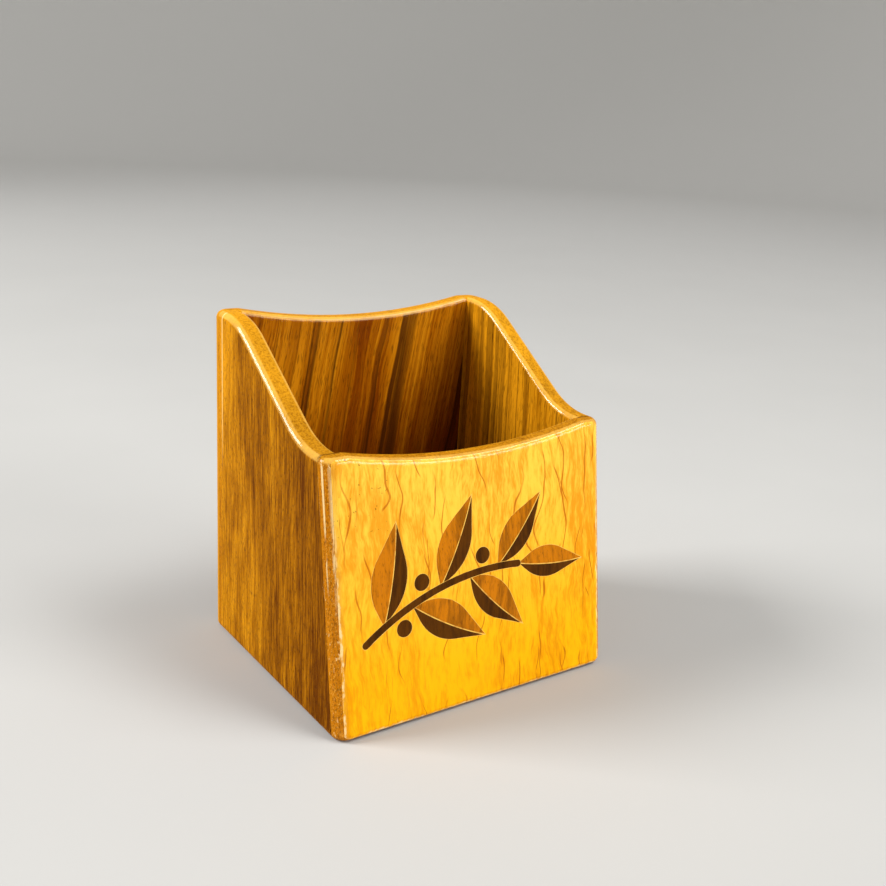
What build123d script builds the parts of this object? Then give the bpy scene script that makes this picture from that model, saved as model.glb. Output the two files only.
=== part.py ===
from build123d import *

import os
from math import cos, radians, sin, sqrt, tan

# Pen holder: an open-topped wooden box with a leaning front and sweeping sides.
# Four boards are joined at rebated corners round a base board housed in all of
# them. The front is faced with pale veneer, inlaid with a leaf spray in darker
# woods. Millimetres, +Z up, front towards -Y, and the origin on the desk under
# the middle of the foot.

os.makedirs("parts", exist_ok=True)

# Overall sizes of the box
width = 89.0  # across the front
foot_depth = 77.0  # front to back at the foot
back_height = 96.0  # to the level corners of the back rim
front_height = 71.5  # to the level corners of the front rim
front_lean = 9.0  # degrees that the front leans back

# Boards
side_thickness = 6.3
back_thickness = 6.3
front_core_thickness = 5.0  # front board, behind its veneer
veneer_thickness = 0.5
base_thickness = 5.0
corner_rebate = 2.0  # how far a side board's end is let into front and back
base_housing = 3.0  # how far the base board is let into the walls
glue_line = 0.05  # hairline left between glued boards

# Rim of the side boards: level crest, arc, straight slope, arc, level toe
crest_landing = 1.2  # level rim between the back board and the upper arc
toe_landing = 0.4  # level rim between the front board and the lower arc
sweep_round = 25.0  # radius of both arcs

# Rim of the front and back boards: one shallow hollow between the sides
rim_dip = 3.8
dip_blend = 5.0  # radius where the hollow meets the level corners

# Edges rounded over after the box is glued up
corner_round = 4.0
rim_round_outside = 2.0
rim_round_inside = 1.6
foot_round = 2.0

# Inlay: an arching stem, leaves of two halves each, and berries
spray_margin = 8.0  # bare ground between the spray and either side of the front
spray_drop = 4.0  # middle of the stem below the middle of the front
stem_rise = 12.0  # from the start of the stem to its end
stem_bow = 4.5  # how far the stem bows from straight
stem_width = 2.2
side_leaves = 5  # on alternate sides of the stem, with one more at its end
first_leaf = 6.5  # along the stem from its start
leaf_pitch = 9.4  # along the stem from each side leaf to the next
end_leaf = 6.0  # along the stem from the last side leaf to the leaf at its end
leaf_angle = 51.0  # degrees between a side leaf and the stem
leaf_length = 27.5  # of the first leaf
leaf_shoulder = 10.5  # from the stem to the widest part of a leaf
leaf_shoulder_round = 14.0
leaf_rib_bow = 1.0
leaf_taper = 0.03  # how much smaller each next leaf is, as a share
berry_leaves = (1, 2, 4)  # side leaves that have a berry behind them
berry_setback = 4.6  # along the stem from the leaf
berry_radius = 2.4
berry_gap = 0.6  # between a berry and the stem
inlay_kerf = 0.15  # saw kerf round each inlaid piece
filler_recess = 0.05  # how far the filler in the kerf lies below the face

# Values worked out from those above
lean = radians(front_lean)
front_total = front_core_thickness + veneer_thickness
inner_half_width = width / 2 - side_thickness
front_lip = front_total - corner_rebate  # in front of a side board's end
back_lip = back_thickness - corner_rebate
lowest_rim = front_height - rim_dip
back = foot_depth / 2
dip_landing = 1.5 * dip_blend * rim_dip / inner_half_width  # level run for the blend
dip_half = inner_half_width - dip_landing
overshoot = 10.0  # how far cutters run past the box
near = 0.01  # tolerance for picking edges

# The front face, seen from the front: x to the right, y up the slope, z outwards
front_face = Plane(
    origin=(0, -back, 0), x_dir=(1, 0, 0), z_dir=(0, -cos(lean), sin(lean))
)


def front_y(depth, z):
    """Y of the plane that lies that deep behind the front face, at height z."""
    return -back + depth / cos(lean) + z * tan(lean)


def on_outside(edge):
    """Whether an edge lies on the outer faces of the box or on its round corners."""
    point = edge @ 0.5
    behind_front = (point.Y - front_y(0, point.Z)) * cos(lean)
    inset = min(width / 2 - abs(point.X), back - point.Y, behind_front)
    return inset < 0.3 * corner_round + near


def on_inside(edge):
    """Whether an edge lies on the inner faces of the box."""
    point = edge @ 0.5
    between_sides = abs(point.X) < inner_half_width + near
    before_back = point.Y < back - back_thickness + near
    return between_sides and before_back and point.Y > front_y(front_total, point.Z) - near


def on_rim(edge):
    """Whether an edge lies wholly in the height of the rim."""
    return edge.bounding_box().min.Z > lowest_rim - near


# The sweep of the side rims, from the level crest down to the level toe. Its two
# arcs keep their radius where there is room, and shrink where there isn't.
front_top = front_y(0, front_height)
crest_level = back_thickness + crest_landing
toe_level = front_total / cos(lean) + toe_landing
sweep_run = back - crest_level - front_top - toe_level
sweep_drop = back_height - front_height
sweep_room = (sweep_run**2 / sweep_drop + sweep_drop) / 4
sweep_radius = min(sweep_round, 0.95 * sweep_room)
spread = 4 * sweep_radius - sweep_drop
half_turn = (sweep_run - sqrt(sweep_run**2 - spread * sweep_drop)) / spread
arc_reach = sweep_radius * half_turn  # from an arc's end to the corner it rounds

# The carcass: all four walls as they stand once glued up and rounded over
cutter_top = back_height + overshoot
with BuildPart() as carcass:
    with BuildSketch(Plane.YZ):
        with BuildLine():
            rim = FilletPolyline(
                (back, back_height),
                (back - crest_level - arc_reach, back_height),
                (front_top + toe_level + arc_reach, front_height),
                (front_top, front_height),
                radius=sweep_radius,
            )
            Polyline(rim @ 1, (front_y(0, 0), 0), (back, 0), rim @ 0)
        make_face()
    extrude(amount=width / 2, both=True)

    with BuildSketch(Plane.YZ):
        with BuildLine():
            Polyline(
                (front_y(front_total, -overshoot), -overshoot),
                (back - back_thickness, -overshoot),
                (back - back_thickness, cutter_top),
                (front_y(front_total, cutter_top), cutter_top),
                close=True,
            )
        make_face()
    extrude(amount=inner_half_width, both=True, mode=Mode.SUBTRACT)

    # The hollow in the rim of the front, then that of the back
    for rim_height, towards in ((front_height, 1), (back_height, -1)):
        with BuildSketch(Plane.XZ) as hollow:
            with BuildLine():
                dip = ThreePointArc(
                    (-dip_half, rim_height),
                    (0, rim_height - rim_dip),
                    (dip_half, rim_height),
                )
                Polyline(
                    dip @ 1,
                    (inner_half_width, rim_height),
                    (inner_half_width, cutter_top),
                    (-inner_half_width, cutter_top),
                    (-inner_half_width, rim_height),
                    dip @ 0,
                )
            make_face()
            ends = hollow.vertices().filter_by(
                lambda v: abs(abs(v.X) - dip_half) < dip_landing / 2
            )
            fillet(ends, radius=dip_blend)
        extrude(amount=towards * foot_depth, mode=Mode.SUBTRACT)

    # Upright corners, foot and rim are rounded over in that order
    corners = carcass.edges().filter_by(
        lambda e: on_outside(e) and e.bounding_box().size.Z > lowest_rim
    )
    fillet(corners, radius=corner_round)
    foot = carcass.faces().sort_by(Axis.Z)[0].outer_wire().edges()
    fillet(foot, radius=foot_round)
    fillet(carcass.edges().filter_by(on_rim).filter_by(on_outside), rim_round_outside)
    fillet(carcass.edges().filter_by(on_rim).filter_by(on_inside), rim_round_inside)


def side_zone(hand, clearance):
    """The space of one side board between the lips of front and back."""
    inner = inner_half_width - clearance
    with BuildPart() as zone:
        with BuildSketch(Plane.YZ.offset(hand * inner)):
            with BuildLine():
                Polyline(
                    (front_y(front_lip - clearance, -overshoot), -overshoot),
                    (back - back_lip + clearance, -overshoot),
                    (back - back_lip + clearance, cutter_top),
                    (front_y(front_lip - clearance, cutter_top), cutter_top),
                    close=True,
                )
            make_face()
        extrude(amount=hand * width)
    return zone.part


def front_slab(start, end):
    """The space between two depths behind the front face."""
    with BuildPart() as slab:
        with BuildSketch(front_face.offset(-start)):
            Rectangle(2 * width, 2 * cutter_top)
        extrude(amount=start - end)
    return slab.part


# Base board, with its front edge bevelled to the lean of the front
with BuildPart() as base_board:
    with BuildSketch(Plane.YZ):
        with BuildLine():
            edge_depth = front_total - base_housing
            Polyline(
                (front_y(edge_depth, 0), 0),
                (back - back_thickness + base_housing, 0),
                (back - back_thickness + base_housing, base_thickness),
                (front_y(edge_depth, base_thickness), base_thickness),
                close=True,
            )
        make_face()
    extrude(amount=inner_half_width + base_housing, both=True)
base_board.part.label = "base_board"
export_step(base_board.part, "parts/base_board.step")

# Room that the walls leave for the base board and for the side boards' ends
with BuildPart() as base_room:
    add(base_board.part)
    offset(amount=glue_line, kind=Kind.INTERSECTION)
side_rooms = [side_zone(-1, glue_line), side_zone(1, glue_line)]

# Side boards
for name, zone in (("left_side", side_zone(-1, 0)), ("right_side", side_zone(1, 0))):
    with BuildPart() as side_board:
        add(carcass.part)
        add(zone, mode=Mode.INTERSECT)
        add(base_room.part, mode=Mode.SUBTRACT)
    side_board.part.label = name
    export_step(side_board.part, f"parts/{name}.step")

# Back board, rebated at both ends for the side boards
with BuildPart() as back_board:
    add(carcass.part)
    split(bisect_by=Plane.XZ.offset(back_thickness - back), keep=Keep.BOTTOM)
    add(side_rooms, mode=Mode.SUBTRACT)
    add(base_room.part, mode=Mode.SUBTRACT)
back_board.part.label = "back_board"
export_step(back_board.part, "parts/back_board.step")

# Front board, rebated like the back
core_slab = front_slab(veneer_thickness, front_total)
with BuildPart() as front_board:
    add(carcass.part)
    add(core_slab, mode=Mode.INTERSECT)
    add(side_rooms, mode=Mode.SUBTRACT)
    add(base_room.part, mode=Mode.SUBTRACT)
front_board.part.label = "front_board"
export_step(front_board.part, "parts/front_board.step")

# The spray, drawn on the front face with x to the right and y up the slope. It is
# fitted to the width of the front, from the stem's start to the last leaf's tip.
stem_chord = first_leaf + (side_leaves - 1) * leaf_pitch + end_leaf
stem_span = sqrt(stem_chord**2 - stem_rise**2)
end_leaf_length = leaf_length * (1 - side_leaves * leaf_taper)
spray_breadth = stem_width / 2 + stem_span + end_leaf_length
fit = (width - 2 * spray_margin) / spray_breadth
leaf_half_width = leaf_pitch * sin(radians(leaf_angle))  # so that neighbours clear
spray_origin = (
    spray_margin + fit * stem_width / 2 - width / 2,
    lowest_rim / cos(lean) / 2 - spray_drop - fit * stem_rise / 2,
    0,
)
spray = front_face * Location(spray_origin)
with BuildLine():
    stem_line = SagittaArc((0, 0), (fit * stem_span, fit * stem_rise), fit * stem_bow)


def stem_piece(inset):
    """The stem, drawn in from its outline by the inset."""
    with BuildPart() as piece:
        with BuildSketch(spray):
            SlotArc(stem_line, height=fit * stem_width - 2 * inset)
        extrude(amount=-veneer_thickness)
    return piece.part


stem_window = stem_piece(0)


def leaf_piece(place, bearing, size, hand, inset):
    """One half of a leaf, drawn in from its outline by the inset."""
    base = stem_line @ (place / stem_line.length)
    tip = (size * leaf_length, 0)
    with BuildPart() as piece:
        with BuildSketch(spray * Location((base.X, base.Y, 0), (0, 0, bearing))):
            with BuildLine():
                FilletPolyline(
                    (0, 0),
                    (size * leaf_shoulder, hand * size * leaf_half_width),
                    tip,
                    radius=size * leaf_shoulder_round,
                )
                SagittaArc(tip, (0, 0), size * leaf_rib_bow)
            make_face()
            if inset > 0:
                offset(amount=-inset, kind=Kind.INTERSECTION)
        extrude(amount=-veneer_thickness)
        add(stem_window, mode=Mode.SUBTRACT)
    return piece.part


def berry_piece(place, hand, inset):
    """One berry beside the stem, drawn in from its outline by the inset."""
    base = stem_line @ (place / stem_line.length)
    bearing = stem_line.tangent_angle_at(place / stem_line.length)
    reach = fit * (stem_width / 2 + berry_gap + berry_radius)
    with BuildPart() as piece:
        with BuildSketch(spray * Location((base.X, base.Y, 0), (0, 0, bearing))):
            with Locations((0, hand * reach)):
                Circle(fit * berry_radius - inset)
        extrude(amount=-veneer_thickness)
    return piece.part


# Each leaf's place along the stem and its side, +1 above, -1 below and 0 at the end
leaves = [
    (fit * (first_leaf + i * leaf_pitch), 1 - 2 * (i % 2)) for i in range(side_leaves)
]
leaves.append((stem_line.length, 0))

inlays = {"stem": stem_piece(inlay_kerf)}
windows = [stem_window]
for i, (place, hand) in enumerate(leaves):
    bearing = stem_line.tangent_angle_at(place / stem_line.length) + hand * leaf_angle
    leaf = (place, bearing, fit * (1 - i * leaf_taper))
    for half, wood in ((1, "pale"), (-1, "dark")):
        inlays[f"leaf_{i + 1}_{wood}"] = leaf_piece(*leaf, half, inlay_kerf)
        windows.append(leaf_piece(*leaf, half, 0))
for i, leaf in enumerate(berry_leaves):
    place, hand = leaves[leaf]
    place -= fit * berry_setback
    inlays[f"berry_{i + 1}"] = berry_piece(place, hand, inlay_kerf)
    windows.append(berry_piece(place, hand, 0))

for name, piece in inlays.items():
    piece.label = name
    export_step(piece, f"parts/{name}.step")

# Pale ground veneer, rounded over with the box and cut out for the inlay
veneer_slab = front_slab(0, veneer_thickness)
with BuildPart() as front_veneer:
    add(carcass.part)
    add(veneer_slab, mode=Mode.INTERSECT)
    add(windows, mode=Mode.SUBTRACT)
front_veneer.part.label = "front_veneer"
export_step(front_veneer.part, "parts/front_veneer.step")

# Filler that closes the kerf round every inlaid piece
filler_slab = front_slab(filler_recess, veneer_thickness)
with BuildPart() as kerf_filler:
    add(windows)
    add(inlays.values(), mode=Mode.SUBTRACT)
    add(filler_slab, mode=Mode.INTERSECT)
kerf_filler.part.label = "kerf_filler"
export_step(kerf_filler.part, "parts/kerf_filler.step")
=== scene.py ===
import math

import bmesh
import bpy
from mathutils import Matrix, Vector, noise


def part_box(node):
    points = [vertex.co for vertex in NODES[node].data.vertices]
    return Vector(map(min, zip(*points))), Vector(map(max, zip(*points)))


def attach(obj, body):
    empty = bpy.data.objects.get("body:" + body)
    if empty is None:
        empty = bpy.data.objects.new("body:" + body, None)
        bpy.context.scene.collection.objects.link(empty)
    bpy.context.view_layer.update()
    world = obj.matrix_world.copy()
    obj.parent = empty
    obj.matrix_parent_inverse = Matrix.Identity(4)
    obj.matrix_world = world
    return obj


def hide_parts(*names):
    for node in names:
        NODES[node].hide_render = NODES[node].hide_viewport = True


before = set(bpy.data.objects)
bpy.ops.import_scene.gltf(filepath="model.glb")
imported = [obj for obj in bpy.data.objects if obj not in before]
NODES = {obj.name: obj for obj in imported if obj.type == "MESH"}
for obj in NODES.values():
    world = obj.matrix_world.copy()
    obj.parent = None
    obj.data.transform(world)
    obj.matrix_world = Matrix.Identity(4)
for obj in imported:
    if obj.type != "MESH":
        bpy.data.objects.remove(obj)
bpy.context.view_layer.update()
MM = 0.001
FRONT_LEAN = 9

bl_info = {
    "name": "Pen holder",
    "version": (1, 0, 0),
    "blender": (4, 5, 0),
    "location": "View3D > Sidebar > Pen holder",
    "description": "Dresses the pen holder in lacquered wood, golden veneer and inlay",
    "category": "Object",
}

JOINT_Y = -34.96
# golden is painted light: each board lightens steadily towards the back (side boards) or towards the right
# (end boards).
SIDES = {
    "left_side": {"seed": 11, "stripes": 0.5, "bands": 0.3, "fine": 1.3, "short": 2.5, "cloud": 0.5,
                  "golden": 0.0076, "shift": -0.025},
    "right_side": {"seed": 47, "stripes": 1.7, "bands": 0.65, "fine": 1.1, "veins": 0.5,
                   "golden": 0.002, "shift": 0.36}}
ENDS = {
    "back_board": {"seed": 23, "lean": 0.17, "stripes": 1.9, "bands": 0.6, "veins": 0.85,
                   "golden": 0.003, "shift": 0.08, "warm": 0.35, "inside_shade_amount": 0.5, "strip": 0.7},
    "front_board": {"seed": 71, "lean": 0.0, "stripes": 1.7, "warm": 0.35, "dusk": 0.32}}
LEAVES = range(1, 7)
BERRIES = range(1, 4)


def linear(*seen):
    """The linear colour of a colour written as it looks, each part from 0 to 255."""
    return tuple(v / 3294.6 if v <= 10 else ((v / 255 + 0.055) / 1.055) ** 2.4 for v in seen)


def colour(name, description, *seen):
    """A colour that the user can change."""
    return bpy.props.FloatVectorProperty(
        name=name, description=description, subtype="COLOR", size=3, min=0, max=1, default=linear(*seen))


def share(name, description, default, high=1.0):
    """A plain number that the user can change."""
    return bpy.props.FloatProperty(name=name, description=description, default=default, min=0, max=high)


def length(name, description, default_mm):
    """A length that the user can change, kept in metres."""
    return bpy.props.FloatProperty(
        name=name, description=description, default=default_mm * MM, unit="LENGTH", precision=5)


class WoodColours(bpy.types.PropertyGroup):
    """Colours of the woods."""
    box_light: colour("Box, light", "Lightest stripes of the box wood", 214, 144, 18)
    box_mid: colour("Box, middle", "Middle tone of the box wood", 160, 99, 4)
    box_dark: colour("Box, dark", "Dark stripes of the box wood", 94, 49, 2)
    box_warm: colour("Box, warm", "Reddish tint of the back board", 156, 66, 0)
    box_pore: colour("Box, pores", "Open pores of the box wood", 66, 30, 4)
    rim: colour("Rim", "End grain along the rim", 216, 151, 28)
    corner: colour("Corner", "Rounded upright corners", 206, 122, 2)
    # painted highlight: pale colour on the rim's roundings and glints on the upright corners, standing in for
    # the lacquer's reflections
    painted_edge_highlight: colour("Edge highlight, painted", "Painted highlight along the rim's rounding, and glints on the upright corners", 248, 194, 84)
    # pale colour of chipped wood, also used for painted highlight lines on the upright corners and near the
    # side boards' back edges
    bare_wood_and_highlight: colour("Bare wood and highlight", "Wood where the lacquer has chipped off, also painted highlight lines on the corners", 255, 226, 160)
    veneer_top_with_sheen: colour("Veneer, top", "Golden veneer near the rim, paler with painted sheen", 252, 196, 66)
    veneer_low: colour("Veneer, foot", "Golden veneer near the foot", 247, 177, 10)
    veneer_shade: colour("Veneer, shade", "Darker figure of the veneer", 216, 132, 4)
    veneer_line: colour("Veneer, lines", "Thin figure lines in the veneer", 176, 92, 8)
    pale_leaf: colour("Pale inlay", "Pale half of a leaf", 174, 101, 8)
    dark_leaf: colour("Dark inlay", "Dark half of a leaf, the stem and the berries", 76, 41, 4)
    filler: colour("Filler", "Filler in the saw kerf", 240, 190, 84)
    base: colour("Base", "Base board", 150, 92, 24)


class FinishSettings(bpy.types.PropertyGroup):
    """Lacquer and wear."""
    gloss: share("Gloss", "How much lacquer lies on the wood", 0.9)
    bump: share("Grain depth", "How far the grain shows through the lacquer", 0.25)
    wave: length("Hand rounding", "How uneven the rounded edges are", 0.04)
    ding: length("Dents", "Deepest dent in an edge", 0.18)
    chip: length("Veneer chips", "How far a chip goes into the veneer", 0.35)
    step: length("Edge step", "Spacing of the mesh along the edges", 1.1)


class StageSettings(bpy.types.PropertyGroup):
    """Camera, floor and lamps."""
    place: bpy.props.FloatVectorProperty(
        name="Camera place", description="Where the camera stands", subtype="XYZ", unit="LENGTH",
        default=(-0.16108, -0.23715, 0.15204))
    turn: bpy.props.FloatProperty(
        name="Turn", description="Camera's turn to the right of the box's depth", subtype="ANGLE",
        default=0.62291)
    dip: bpy.props.FloatProperty(
        name="Dip", description="Camera's dip below the horizon", subtype="ANGLE", default=0.30220)
    roll: bpy.props.FloatProperty(
        name="Roll", description="Camera's roll", subtype="ANGLE", default=-0.06091)
    lens: bpy.props.FloatProperty(
        name="Lens", description="Focal length on a 36 mm sensor", unit="CAMERA", default=43.394)
    floor: colour("Floor", "Floor under the box", 180, 179, 176)
    wall: colour("Wall", "Floor far from the box and the wall", 236, 235, 232)
    ambient: share("Ambient", "Even light from all round", 0.4, 4)
    key: share("Key", "Lamp before the front, in watts", 7.0, 100)
    top: share("Top", "Lamp overhead, in watts", 5.6, 100)
    rim_lamp: share("Rim", "Lamp behind on the left, in watts", 14.5, 100)


class Wire:
    """One output of a node. Arithmetic on wires adds Math nodes to the same material."""

    def __init__(self, finish, socket):
        self.finish = finish
        self.socket = socket

    def maths(self, operation, *values):
        inputs = dict(enumerate(values))
        return self.finish.node("ShaderNodeMath", {"operation": operation}, inputs)

    def __add__(self, other):
        return self.maths("ADD", self, other)

    def __radd__(self, other):
        return self.maths("ADD", other, self)

    def __sub__(self, other):
        return self.maths("SUBTRACT", self, other)

    def __rsub__(self, other):
        return self.maths("SUBTRACT", other, self)

    def __mul__(self, other):
        return self.maths("MULTIPLY", self, other)

    def __rmul__(self, other):
        return self.maths("MULTIPLY", other, self)

    def __abs__(self):
        return self.maths("ABSOLUTE", self)

    def larger(self, other):
        return self.maths("MAXIMUM", self, other)

    def root(self):
        return self.maths("SQRT", self)


class Finish:
    """A procedural material under construction. Lengths are in millimetres."""

    def __init__(self, name):
        self.material = bpy.data.materials.new(name)
        self.material.use_nodes = True
        self.tree = self.material.node_tree
        self.tree.nodes.clear()

    def node(self, kind, settings=None, inputs=None, output=0):
        """Adds one node: its settings first, then the values or links of its sockets."""
        made = self.tree.nodes.new(kind)
        for key, value in (settings or {}).items():
            if key == "stops":
                ramp = made.color_ramp
                while len(ramp.elements) < len(value):
                    ramp.elements.new(0.5)
                for element, (place, tone) in zip(ramp.elements, value):
                    element.position = place
                    element.color = (*tone, 1)
            else:
                setattr(made, key, value)
        for key, value in (inputs or {}).items():
            socket = made.inputs[key]
            if isinstance(value, Wire):
                self.tree.links.new(value.socket, socket)
            elif socket.type == "RGBA":
                socket.default_value = (*value, 1)
            else:
                socket.default_value = value
        return Wire(self, made.outputs[output]) if made.outputs else None

    def place(self):
        """Place on the object in millimetres, as three wires."""
        spot = self.node("ShaderNodeTexCoord", output="Object")
        big = self.node("ShaderNodeVectorMath", {"operation": "SCALE"}, {0: spot, "Scale": 1000.0})
        return [self.node("ShaderNodeSeparateXYZ", None, {0: big}, n) for n in range(3)]

    def facing(self):
        """The smooth surface direction, as three wires."""
        normal = self.node("ShaderNodeNewGeometry", output="Normal")
        return [self.node("ShaderNodeSeparateXYZ", None, {0: normal}, n) for n in range(3)]

    def join(self, x, y, z):
        return self.node("ShaderNodeCombineXYZ", None, {0: x, 1: y, 2: z})

    def stretch(self, grain, size, seed):
        scaled = self.node("ShaderNodeVectorMath", {"operation": "MULTIPLY"}, {0: grain, 1: size})
        shift = (seed * 3.7, seed * 5.3, seed * 1.9)
        return self.node("ShaderNodeVectorMath", {"operation": "ADD"}, {0: scaled, 1: shift})

    def noise(self, grain, size, seed, detail=2.0, rough=0.5, twist=0.0):
        """Noise with its own size along each way of the grain, from 0 to 1."""
        return self.node("ShaderNodeTexNoise", None, {
            "Vector": self.stretch(grain, size, seed), "Scale": 1.0, "Detail": detail,
            "Roughness": rough, "Distortion": twist})

    def wavy_lines(self, plain, across, spacing, seed):
        """Thin upright lines that wander, run together and break off."""
        drift = self.noise(plain, (0.035, 0.035, 0.034), seed, 2.0, 0.4) * 24.0
        place = (across + drift) * (1 / spacing)
        line = self.rise(abs(place.maths("FRACT", place) - 0.5) * spacing, 0.26, 0.10)
        return line * self.rise(self.noise(plain, (0.12, 0.12, 0.060), seed + 5), 0.49, 0.60)

    def rise(self, value, low, high):
        """0 below low and 1 above high, with a smooth rise between; low may be the larger."""
        return self.node("ShaderNodeMapRange", {"interpolation_type": "SMOOTHSTEP"}, {
            "Value": value, "From Min": low, "From Max": high, "To Min": 0.0, "To Max": 1.0})

    def ramp(self, value, *stops):
        return self.node("ShaderNodeValToRGB", {"stops": stops}, {0: value})

    def mix(self, low, high, amount):
        return self.node("ShaderNodeMix", {"data_type": "RGBA"}, {0: amount, 6: low, 7: high}, 2)

    def edge(self):
        """1 on the rounded edges and 0 on the flat faces."""
        x, y, z = (abs(way) for way in self.facing())
        return self.rise(x.larger(y).larger(z), 0.985, 0.90)

    def lacquer(self, tone, roughness, coat, height, depth):
        """Ends the material in lacquered wood and returns it."""
        bump = self.node("ShaderNodeBump", None, {"Strength": depth, "Distance": 0.0003, "Height": height})
        body = self.node("ShaderNodeBsdfPrincipled", None, {
            "Base Color": tone, "Roughness": roughness, "Coat Weight": coat, "Normal": bump,
            "Coat Roughness": 0.13, "Coat IOR": 1.55, "Specular IOR Level": 0.003})
        self.node("ShaderNodeOutputMaterial", None, {"Surface": body})
        return self.material


def board_wood(name, colours, settings, across, seed, lean=0.02, stripes=1.7, bands=0.9, fine=1.0, short=1.0,
               cloud=0.0, veins=0.0, golden=0.0, shift=0.0, warm=0.05, inside_shade_amount=0.0, dusk=0.0, strip=0.0):
    """Lacquered box wood with its grain upright in the board, lighter and finely dotted on the rim.
    Highlights and glints on the rounded edges, and shade low on the back board's inner face, are painted into
    the colour.
    """
    f = Finish(name)
    x, y, z = f.place()
    plain = f.join(x, y, z)
    ways = f.facing()
    over, through, face = (x, y, abs(ways[1])) if across == "x" else (y, x, abs(ways[0]))
    ends = f.rise(abs(x), 40.5, 43.0) if across == "x" else 0.0
    sway = f.noise(plain, (0.05, 0.05, 0.018), seed + 3)
    grain = f.join(over - z * lean + sway * 5.0, through, z)
    broad = f.noise(grain, (0.055, 0.055, 0.012), seed, 3.0)
    streak = f.noise(grain, (0.36, 0.36, 0.007 * short), seed + 7, 4.0, 0.62)
    fibre = f.noise(grain, (1.9, 1.9, 0.045 * short), seed + 13, 3.0, 0.65)
    mist = f.noise(plain, (0.12, 0.12, 0.06), seed + 61, 4.0, 0.65)
    # Painted shade: the back board's inner face darkens towards the bottom.
    inside_shade_mask = f.rise(ways[1], -0.3, -0.7) * f.rise(z, 86.0, 40.0)
    # over * golden is painted light, a steady lightening along the board.
    tone = 0.5 + shift + (broad - 0.5) * 1.3 + (streak - 0.5) * stripes + (fibre - 0.5) * fine + over * golden
    tone = tone + (mist - 0.5) * cloud + ends * 0.2 - inside_shade_mask * inside_shade_amount
    wood = f.ramp(tone, (0.15, colours.box_dark), (0.5, colours.box_mid), (0.9, colours.box_light))
    band = f.rise(f.noise(grain, (0.26, 0.26, 0.003), seed + 19, 5.0, 0.65), 0.49, 0.64)
    wood = f.mix(wood, colours.box_dark, band * (1 - ends) * bands)
    wood = f.mix(wood, colours.box_warm, warm)
    thin = f.rise(f.noise(grain, (0.8, 0.8, 0.005), seed + 59, 3.0, 0.6), 0.58, 0.68)
    wood = f.mix(wood, colours.box_pore, thin * (1 - ends) * bands * 0.6)
    path = f.noise(grain, (0.18, 0.18, 0.0015), seed + 79, 2.0)
    vein = f.rise(abs(path - 0.5), 0.05, 0.008)
    vein = vein * f.rise(f.noise(grain, (0.08, 0.08, 0.008), seed + 83), 0.38, 0.54)
    wood = f.mix(wood, colours.box_pore, vein * (1 - ends) * veins)
    pore = f.rise(f.noise(grain, (3.3, 3.3, 0.28 * short), seed + 29, 1.0), 0.56, 0.66)
    wood = f.mix(wood, colours.box_pore, pore * 0.5)

    wood = f.mix(wood, colours.rim, ends * strip)
    rim = f.rise(ways[2], 0.35, 0.8)
    dots = f.rise(f.noise(plain, (1.6, 1.6, 0.8), seed + 31, 4.0, 0.65), 0.42, 0.68)
    sunk = f.rise(z, 86.0, 72.0) * 0.3 if across == "y" else 0.0
    crown = f.mix(colours.rim, colours.box_dark, dots * 0.5 + dusk + sunk)
    wood = f.mix(wood, crown, rim * 0.7)
    patchy = f.noise(plain, (0.14, 0.14, 0.10), seed + 43, 2.0)
    rounding = f.rise(face, 0.12, 0.40) * f.rise(face, 0.99, 0.92)
    high = f.rise(ways[2], 0.10, 0.40)
    # Painted highlight: the upward rim roundings turn pale and patchy.
    wood = f.mix(wood, colours.painted_edge_highlight, rounding * high * (0.10 + 0.6 * patchy))

    standing = f.rise(ways[2], -0.6, -0.2) * (1 - high)
    upright = rounding * standing
    low_front = f.rise(y, -16.0, -28.0) * f.rise(z, 50.0, 30.0)
    broken = f.rise(f.noise(plain, (0.5, 0.5, 0.09), seed + 47, 3.0, 0.6), 0.46, 0.60)
    broken = broken.larger(f.rise(z, 50.0, 58.0))
    if across == "y":
        # The side board's outside just before the back corner counts as upright too, so it takes the corner
        # tone, the painted glints and the dark speckle.
        outside = f.rise(abs(x), 42.5, 43.5)
        upright = upright.larger(outside * f.rise(y, 31.8, 32.2) * 0.6)
    ahead = f.rise(y, 0.0, -12.0)
    wood = f.mix(wood, colours.corner, upright * (0.3 + 0.4 * ahead))
    # Painted glints: fine pale speckle on the upright roundings, more on the front; the same speckle also
    # roughens the bump.
    glint_speckle = f.rise(f.noise(plain, (2.6, 2.6, 1.8), seed + 41, 3.0, 0.7), 0.54, 0.66)
    wood = f.mix(wood, colours.painted_edge_highlight, upright * glint_speckle * (0.15 + 0.35 * ahead))
    # Dark speckle on the upright roundings, more on the front.
    upright_dark_speckle = f.rise(f.noise(plain, (2.0, 2.0, 1.2), seed + 67, 3.0, 0.7), 0.50, 0.62)
    wood = f.mix(wood, colours.box_dark, upright * upright_dark_speckle * (0.25 + 0.35 * ahead))
    # Painted highlights: two thin pale lines along each upright corner's rounding, continuous high up, broken
    # lower down and left out low on the front.
    side = abs(ways[0])
    ridge_highlight = f.rise(side, 0.855, 0.88) * f.rise(side, 0.915, 0.89)
    ridge_highlight = ridge_highlight + f.rise(side, 0.52, 0.56) * f.rise(side, 0.64, 0.60)
    ridge_highlight = ridge_highlight * standing * f.rise(face, 0.05, 0.15) * broken * (1 - low_front)
    wood = f.mix(wood, colours.bare_wood_and_highlight, ridge_highlight * (0.1 + 0.7 * ahead))
    fleck = f.rise(f.noise(plain, (0.9, 0.9, 0.5), seed + 53, 3.0, 0.7), 0.60, 0.68)
    worn = fleck * rounding * standing * low_front
    wood = f.mix(wood, colours.bare_wood_and_highlight, worn * 0.6)
    if across == "y":
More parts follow.
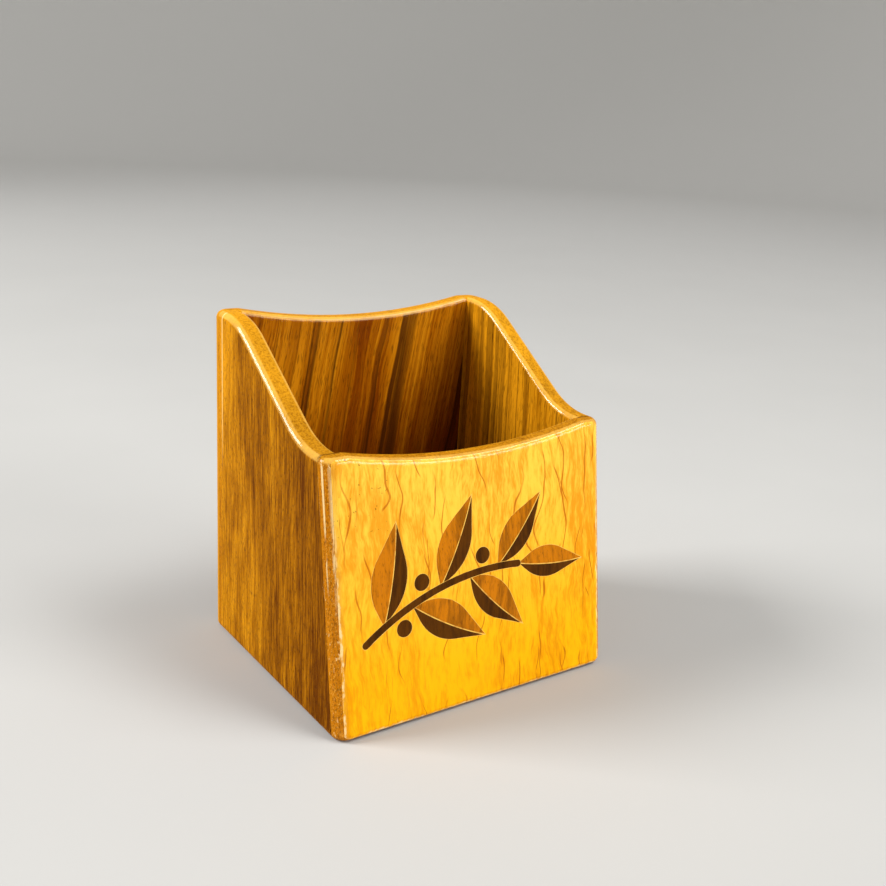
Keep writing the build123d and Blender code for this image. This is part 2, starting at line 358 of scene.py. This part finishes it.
        # Painted highlight: a thin pale line on the outside of each side board just before the back corner,
        # fading towards the bottom.
        line = outside * f.rise(y, 31.0, 31.3) * f.rise(y, 31.9, 31.6) * f.rise(z, 48.0, 74.0)
        wood = f.mix(wood, colours.bare_wood_and_highlight, line * (0.3 + 0.25 * patchy))
        joint = f.rise(y - z * math.tan(math.radians(FRONT_LEAN)), JOINT_Y + 1.2, JOINT_Y + 0.5)
        wood = f.mix(wood, colours.box_pore, joint * rim * f.rise(y, -18.0, -20.0) * (0.5 + 0.45 * dots))

    smear = f.noise(plain, (0.09, 0.09, 0.06), seed + 37, 3.0)
    rough = 0.36 + (smear - 0.5) * 0.3 + worn * 0.25
    coat = settings.gloss * (0.03 + rounding * (0.10 + 0.42 * high)) + (smear - 0.5) * 0.04
    return f.lacquer(wood, rough, coat, fibre * 0.4 - pore + glint_speckle * upright * 0.8, settings.bump)


def veneer_wood(name, colours, settings):
    """Golden veneer with faint upright figure, thin lines that meet in points, and a few specks; its paler
    top is painted sheen.
    """
    f = Finish(name)
    x, y, z = f.place()
    plain = f.join(x, y, z)
    edge = f.edge()
    sway = f.noise(plain, (0.05, 0.05, 0.045), 2, 3.0)
    grain = f.join(x + sway * 8.0, y, z)
    broad = f.noise(grain, (0.09, 0.09, 0.02), 5)
    figure = f.noise(grain, (0.7, 0.7, 0.04), 9, 4.0, 0.65)
    fibre = f.noise(grain, (2.8, 2.8, 0.08), 12)
    # Paler towards the rim: painted sheen over the golden veneer.
    wood = f.mix(colours.veneer_low, colours.veneer_top_with_sheen, f.rise(z, 10.0, 66.0))
    shade = f.rise(broad * 0.7 + figure * 1.1 + fibre * 0.5, 0.98, 1.42)
    # More figure, blotches and lines towards the lower right.
    lower_right = f.rise(x, -30.0, 40.0) * f.rise(z, 75.0, 25.0)
    wood = f.mix(wood, colours.veneer_shade, shade * (0.75 + 0.1 * lower_right))
    blotch = f.rise(f.noise(grain, (0.35, 0.35, 0.14), 57, 4.0, 0.65), 0.46, 0.70)
    wood = f.mix(wood, colours.veneer_shade, blotch * (0.10 + 0.15 * lower_right))
    line = f.wavy_lines(plain, x, 9.0, 4)
    line = line.larger(f.wavy_lines(plain, x, 11.5, 17))
    line = line.larger(f.wavy_lines(plain, x, 7.0, 29))
    wood = f.mix(wood, colours.veneer_line, line * (0.3 + 0.8 * figure + 0.2 * lower_right))
    left_top = f.rise(x, -25.0, -29.0) * f.rise(z, 48.0, 54.0)
    speck = f.rise(f.noise(plain, (1.1, 1.1, 1.1), 33, 2.0), 0.68, 0.73) * left_top
    wood = f.mix(wood, colours.box_pore, speck * 0.7)
    fleck = f.noise(plain, (0.7, 0.7, 0.30), 51, 3.0, 0.65)
    side = abs(f.facing()[0])
    worn = f.rise(side + (fleck - 0.5) * 0.5, 0.36, 0.46) * f.rise(z, 62.0, 36.0)
    foot = f.rise(z + (fleck - 0.5) * 2.5, 1.5, 0.7)
    worn = worn.larger(foot * f.rise(side, 0.5, 0.3))
    wood = f.mix(wood, colours.bare_wood_and_highlight, worn * 0.8)
    smear = f.noise(plain, (0.08, 0.08, 0.08), 41, 3.0)
    rough = 0.36 + (smear - 0.5) * 0.3 + worn * 0.2
    coat = settings.gloss * (0.08 + 0.6 * edge) + (smear - 0.5) * 0.1
    return f.lacquer(wood, rough, coat, fibre * 0.3 - line, settings.bump)


def inlay_wood(name, tone, dark, settings, seed, lean):
    """Brown inlay with fine upright grain."""
    f = Finish(name)
    x, y, z = f.place()
    grain = f.join(x - z * lean, y, z)
    broad = f.noise(grain, (0.16, 0.16, 0.02), seed)
    streak = f.noise(grain, (0.9, 0.9, 0.03), seed + 5, 3.0, 0.6)
    pore = f.rise(f.noise(grain, (3.4, 3.4, 0.25), seed + 9, 1.0), 0.60, 0.72)
    amount = f.rise(broad * 0.8 + streak, 0.75, 1.15)
    wood = f.mix(tuple(min(1.0, 1.25 * v) for v in tone), tuple(0.62 * v for v in tone), amount)
    wood = f.mix(wood, dark, pore * 0.45)
    return f.lacquer(wood, 0.36 + (broad - 0.5) * 0.2, settings.gloss * 0.08 + (streak - 0.5) * 0.1,
                     streak * 0.3 - pore, settings.bump)


def base_wood(name, colours, settings):
    """Base board with its grain from side to side and little lacquer."""
    f = Finish(name)
    x, y, z = f.place()
    grain = f.join(x, y, z)
    streak = f.noise(grain, (0.010, 0.35, 0.35), 3, 4.0, 0.6)
    fibre = f.noise(grain, (0.05, 2.2, 2.2), 8)
    amount = f.rise(streak * 0.9 + fibre * 0.5, 0.55, 0.9)
    wood = f.mix(tuple(1.2 * v for v in colours.base), tuple(0.5 * v for v in colours.base), amount)
    return f.lacquer(wood, 0.55 + (fibre - 0.5) * 0.3, 0.12 + (streak - 0.5) * 0.1, fibre, settings.bump)


def filler_paste(name, colours, settings):
    """Pale filler, stained darker here and there."""
    f = Finish(name)
    x, y, z = f.place()
    spot = f.noise(f.join(x, y, z), (0.5, 0.5, 0.5), 6, 3.0)
    tone = f.mix(colours.filler, colours.veneer_line, f.rise(spot, 0.45, 0.72) * 0.7)
    return f.lacquer(tone, 0.45 + (spot - 0.5) * 0.3, 0.3 + (spot - 0.5) * 0.2, spot, settings.bump)


def dress(piece, material):
    """Gives a piece one material."""
    piece.data.materials.clear()
    piece.data.materials.append(material)


def within(value, low, high):
    """0 at low, 1 at high and even between; low may be the larger."""
    return min(1.0, max(0.0, (value - low) / (high - low)))


def corner_wear(spot):
    """Most of the wear is low on the front corners."""
    return 0.05 + 0.95 * within(spot.y, -12, -20) * within(spot.z, 50, 30)


def flat_planes(bm):
    """The planes of the large faces that lie square to the box or along its front."""
    lean = math.radians(FRONT_LEAN)
    front = Vector((0, -math.cos(lean), math.sin(lean)))
    ways = [Vector((1, 0, 0)), Vector((0, 1, 0)), Vector((0, 0, 1)), front]
    planes = {}
    for face in bm.faces:
        for n, way in enumerate(ways):
            turned = face.normal.dot(way)
            if abs(turned) > 0.9999 and face.calc_area() > MM * MM:
                way = way * math.copysign(1, turned)
                offset = way.dot(face.verts[0].co)
                planes[n, turned > 0, round(offset / MM, 2)] = (way, offset)
    return list(planes.values())


def plane_of(face, planes):
    """The direction of the plane that a face lies in, or None."""
    for way, offset in planes:
        if all(abs(way.dot(v.co) - offset) < 0.003 * MM for v in face.verts) and face.normal.dot(way) > -0.5:
            return way
    return None


def cut_rounding(node, step, inset=None):
    """A mesh copy of a CAD piece with its rounded faces cut short, those faces, and the flat planes.

    With an inset, only faces that lie that near the piece's sides, top or bottom count as rounded.
    """
    bm = bmesh.new()
    bm.from_mesh(NODES[node].data)
    bmesh.ops.remove_doubles(bm, verts=bm.verts, dist=1e-6)
    bm.normal_update()
    low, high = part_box(node)
    planes = flat_planes(bm)
    faces = {}
    for face in bm.faces:
        spot = face.calc_center_median()
        depth = min(min(spot[n] - low[n], high[n] - spot[n]) for n in (0, 2))
        if (inset is None or depth < inset) and plane_of(face, planes) is None:
            faces[face] = True
    for axis in range(3):
        span = high[axis] - low[axis]
        if span < 20 * MM:
            continue
        way = Vector((0, 0, 0))
        way[axis] = 1
        for n in range(1, int(span / step)):
            at = low[axis] + n * step
            spans = [(f, [v.co[axis] for v in f.verts]) for f in faces]
            crossed = [f for f, places in spans if min(places) < at < max(places)]
            parts = dict.fromkeys(part for f in crossed for part in (f, *f.edges, *f.verts))
            cut = bmesh.ops.bisect_plane(bm, geom=list(parts), plane_co=way * at, plane_no=way, dist=1e-7)
            faces.update((part, True) for part in cut["geom"] if isinstance(part, bmesh.types.BMFace))
    bm.normal_update()
    return bm, faces, planes


def rub_edges(bm, faces, settings):
    """Makes the rounded edges a little uneven, with small dents where hands and the desk wear them."""
    for vert in dict.fromkeys(v for f in faces for v in f.verts):
        if all(f in faces for f in vert.link_faces):
            spot = vert.co / MM
            wave = 0.5 + 0.5 * noise.noise(spot * 0.12)
            dent = within(noise.noise(spot * 0.40), 0.30, 0.60) * corner_wear(spot)
            vert.co -= vert.normal * (settings.wave * wave + settings.ding * dent)


def chip_edges(bm, faces, settings):
    """Bites small chips out of the veneer's side and bottom edges."""
    reach = NODES["front_veneer"].dimensions.x / 2 / MM
    rise = Vector((0, math.sin(math.radians(FRONT_LEAN)), math.cos(math.radians(FRONT_LEAN))))
    for vert in dict.fromkeys(v for f in faces for v in f.verts):
        spot = vert.co / MM
        side = math.copysign(1, spot.x)
        bite = within(noise.noise(Vector((spot.z * 0.5, side * 7, 3))), 0.05, 0.55) * within(spot.z, 62, 30)
        vert.co.x -= side * settings.chip * bite * within(abs(spot.x), reach - 2.8, reach)
        bite = within(noise.noise(Vector((spot.x * 0.45, 5, 9))), 0.1, 0.55)
        vert.co += rise * (0.5 * settings.chip * bite * within(spot.z, 1.8, 0.3))


def shading(bm, faces, planes):
    """Shading directions for every face corner: flat faces stay flat and roundings run smoothly into them."""
    bm.normal_update()
    own = {face: face.normal if face in faces else plane_of(face, planes) or face.normal for face in bm.faces}
    ways = []
    for face in bm.faces:
        for corner in face.loops:
            near = [f for f in corner.vert.link_faces if own[f].dot(own[face]) > 0.8]
            flat = [f for f in near if f not in faces]
            if face not in faces or not near:
                way = own[face]
            elif flat:
                way = own[max(flat, key=lambda f: own[f].dot(own[face]))]
            else:
                way = sum((own[f] * f.calc_area() for f in near), Vector())
            ways.append(way.normalized())
    return ways


def rubbed_copy(node, slot, settings, inset, *changes):
    """Replaces a CAD piece by a copy with worn edges."""
    bm, faces, planes = cut_rounding(node, settings.step, inset)
    for change in changes:
        change(bm, faces, settings)
    ways = shading(bm, faces, planes)
    mesh = bpy.data.meshes.new(node + "_worn")
    bm.to_mesh(mesh)
    bm.free()
    mesh.shade_smooth()
    mesh.normals_split_custom_set(ways)
    piece = bpy.data.objects.new(node + "_worn", mesh)
    bpy.context.scene.collection.objects.link(piece)
    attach(piece, "root")
    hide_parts(node)
    return piece


class PENHOLDER_OT_sides(bpy.types.Operator):
    """Makes the two side boards."""
    bl_idname = "penholder.sides"
    bl_label = "Side boards"

    def execute(self, context):
        look = context.scene.pen_holder_woods
        finish = context.scene.pen_holder_finish
        for node, figure in SIDES.items():
            piece = rubbed_copy(node, "box_wood", finish, None, rub_edges)
            dress(piece, board_wood(node + "_wood", look, finish, "y", **figure))
        return {"FINISHED"}


class PENHOLDER_OT_ends(bpy.types.Operator):
    """Makes the back board and the leaning front board."""
    bl_idname = "penholder.ends"
    bl_label = "Back and front boards"

    def execute(self, context):
        look = context.scene.pen_holder_woods
        finish = context.scene.pen_holder_finish
        for node, figure in ENDS.items():
            piece = rubbed_copy(node, "box_wood", finish, None, rub_edges)
            dress(piece, board_wood(node + "_wood", look, finish, "x", **figure))
        return {"FINISHED"}


class PENHOLDER_OT_base(bpy.types.Operator):
    """Finishes the base board."""
    bl_idname = "penholder.base"
    bl_label = "Base board"

    def execute(self, context):
        scene = context.scene
        dress(NODES["base_board"], base_wood("base_wood", scene.pen_holder_woods, scene.pen_holder_finish))
        return {"FINISHED"}


class PENHOLDER_OT_veneer(bpy.types.Operator):
    """Makes the golden veneer on the front."""
    bl_idname = "penholder.veneer"
    bl_label = "Front veneer"

    def execute(self, context):
        scene = context.scene
        piece = rubbed_copy("front_veneer", "ground_veneer", scene.pen_holder_finish, 3.5 * MM, chip_edges)
        dress(piece, veneer_wood("golden_veneer", scene.pen_holder_woods, scene.pen_holder_finish))
        return {"FINISHED"}


class PENHOLDER_OT_inlay(bpy.types.Operator):
    """Finishes the leaves, the stem, the berries and the filler round them."""
    bl_idname = "penholder.inlay"
    bl_label = "Inlay"

    def execute(self, context):
        look = context.scene.pen_holder_woods
        finish = context.scene.pen_holder_finish
        pieces = [(f"leaf_{n}_pale", look.pale_leaf) for n in LEAVES]
        pieces += [(f"leaf_{n}_dark", look.dark_leaf) for n in LEAVES]
        pieces += [("stem", look.dark_leaf)] + [(f"berry_{n}", look.dark_leaf) for n in BERRIES]
        for seed, (node, tone) in enumerate(pieces):
            lean = 0.12 * math.sin(seed * 2.4)
            dress(NODES[node], inlay_wood(node + "_wood", tone, look.box_pore, finish, 3 * seed + 1, lean))
        dress(NODES["kerf_filler"], filler_paste("kerf_filler_paste", look, finish))
        return {"FINISHED"}


class PENHOLDER_OT_stage(bpy.types.Operator):
    """Makes the floor, the lamps and the camera."""
    bl_idname = "penholder.stage"
    bl_label = "Stage"

    def execute(self, context):
        scene = context.scene
        stage = scene.pen_holder_stage
        self.floor(scene, stage)
        self.lamps(scene, stage)
        self.camera(scene, stage)
        scene.view_settings.view_transform = "Standard"
        return {"FINISHED"}

    def floor(self, scene, stage):
        """A round floor whose edge sweeps up into a low wall."""
        outline = [(0.0, 0.0), (0.5, 0.0), (2.2, 0.0)]
        sweep = [i * math.pi / 24 for i in range(1, 13)]
        outline += [(2.2 + 0.7 * math.sin(a), 0.7 - 0.7 * math.cos(a)) for a in sweep]
        outline.append((2.9, 1.2))
        bm = bmesh.new()
        around = 96
        middle = bm.verts.new((0, 0, 0))
        rings = []
        for radius, height in outline[1:]:
            turn = [2 * math.pi * i / around for i in range(around)]
            rings.append([bm.verts.new((radius * math.cos(a), radius * math.sin(a), height)) for a in turn])
        for i in range(around):
            j = (i + 1) % around
            bm.faces.new((middle, rings[0][i], rings[0][j]))
            for inner, outer in zip(rings, rings[1:]):
                bm.faces.new((inner[i], outer[i], outer[j], inner[j]))
        mesh = bpy.data.meshes.new("floor")
        bm.to_mesh(mesh)
        bm.free()
        mesh.shade_smooth()
        floor = bpy.data.objects.new("floor", mesh)
        scene.collection.objects.link(floor)
        f = Finish("floor_paper")
        x, y, z = f.place()
        cloud = f.noise(f.join(x, y, z), (0.01, 0.01, 0.01), 1, 3.0)
        away = f.rise((x * x + y * y).root(), 300.0, 2200.0)
        near = f.mix(stage.floor, tuple(0.94 * v for v in stage.floor), cloud)
        tone = f.mix(near, stage.wall, away)
        body = f.node("ShaderNodeBsdfPrincipled", None, {
            "Base Color": tone, "Roughness": 0.9, "Specular IOR Level": 0.1})
        f.node("ShaderNodeOutputMaterial", None, {"Surface": body})
        dress(floor, f.material)

    def lamps(self, scene, stage):
        """Soft lamps round the box and an even light from all round."""
        world = bpy.data.worlds.new("studio")
        world.use_nodes = True
        sky = world.node_tree.nodes["Background"]
        sky.inputs["Color"].default_value = (1, 0.99, 0.97, 1)
        sky.inputs["Strength"].default_value = stage.ambient
        scene.world = world
        places = [
            ("key_lamp", (0.90, -1.53, 0.54), 0.9, stage.key),
            ("top_lamp", (0.63, -0.63, 1.53), 0.8, stage.top),
            ("rim_lamp", (-1.35, 0.81, 1.17), 0.8, stage.rim_lamp)]
        for name, place, size, power in places:
            lamp = bpy.data.lights.new(name, "AREA")
            lamp.size = size
            lamp.energy = power
            lamp.spread = math.radians(100)
            holder = bpy.data.objects.new(name, lamp)
            holder.location = place
            holder.rotation_mode = "QUATERNION"
            holder.rotation_quaternion = (Vector((0, 0, 0.045)) - Vector(place)).to_track_quat("-Z", "Y")
            scene.collection.objects.link(holder)

    def camera(self, scene, stage):
        """The camera at the photograph's viewing angle."""
        level = math.cos(stage.dip)
        ahead = Vector((math.sin(stage.turn) * level, math.cos(stage.turn) * level, -math.sin(stage.dip)))
        right = Vector((math.cos(stage.turn), -math.sin(stage.turn), 0))
        down = ahead.cross(right)
        c, s = math.cos(stage.roll), math.sin(stage.roll)
        across = c * right + s * down
        upward = s * right - c * down
        lens = bpy.data.cameras.new("camera")
        lens.sensor_width = 36
        lens.lens = stage.lens
        lens.clip_start = 0.01
        lens.clip_end = 20
        holder = bpy.data.objects.new("camera", lens)
        turn = Matrix((across, upward, -ahead)).transposed().to_4x4()
        holder.matrix_world = Matrix.Translation(stage.place) @ turn
        scene.collection.objects.link(holder)
        scene.camera = holder


OPERATORS = (PENHOLDER_OT_sides, PENHOLDER_OT_ends, PENHOLDER_OT_base, PENHOLDER_OT_veneer,
             PENHOLDER_OT_inlay, PENHOLDER_OT_stage)
GROUPS = {
    "pen_holder_woods": WoodColours,
    "pen_holder_finish": FinishSettings,
    "pen_holder_stage": StageSettings}


class VIEW3D_PT_pen_holder(bpy.types.Panel):
    """Lists the pen holder's sizes, colours and making steps."""
    bl_label = "Pen holder"
    bl_idname = "VIEW3D_PT_pen_holder"
    bl_space_type = "VIEW_3D"
    bl_region_type = "UI"
    bl_category = "Pen holder"

    def draw(self, context):
        for key, group in GROUPS.items():
            box = self.layout.box()
            box.label(text=group.__doc__)
            for name in group.__annotations__:
                box.prop(getattr(context.scene, key), name)
        for operator in OPERATORS:
            self.layout.operator(operator.bl_idname)


def register():
    for part in (*GROUPS.values(), *OPERATORS, VIEW3D_PT_pen_holder):
        bpy.utils.register_class(part)
    for key, group in GROUPS.items():
        setattr(bpy.types.Scene, key, bpy.props.PointerProperty(type=group))


def unregister():
    for key in GROUPS:
        delattr(bpy.types.Scene, key)
    for part in (VIEW3D_PT_pen_holder, *reversed(OPERATORS), *reversed(GROUPS.values())):
        bpy.utils.unregister_class(part)


def main():
    register()
    bpy.ops.penholder.sides()
    bpy.ops.penholder.ends()
    bpy.ops.penholder.base()
    bpy.ops.penholder.veneer()
    bpy.ops.penholder.inlay()
    bpy.ops.penholder.stage()


if __name__ == "__main__":
    main()
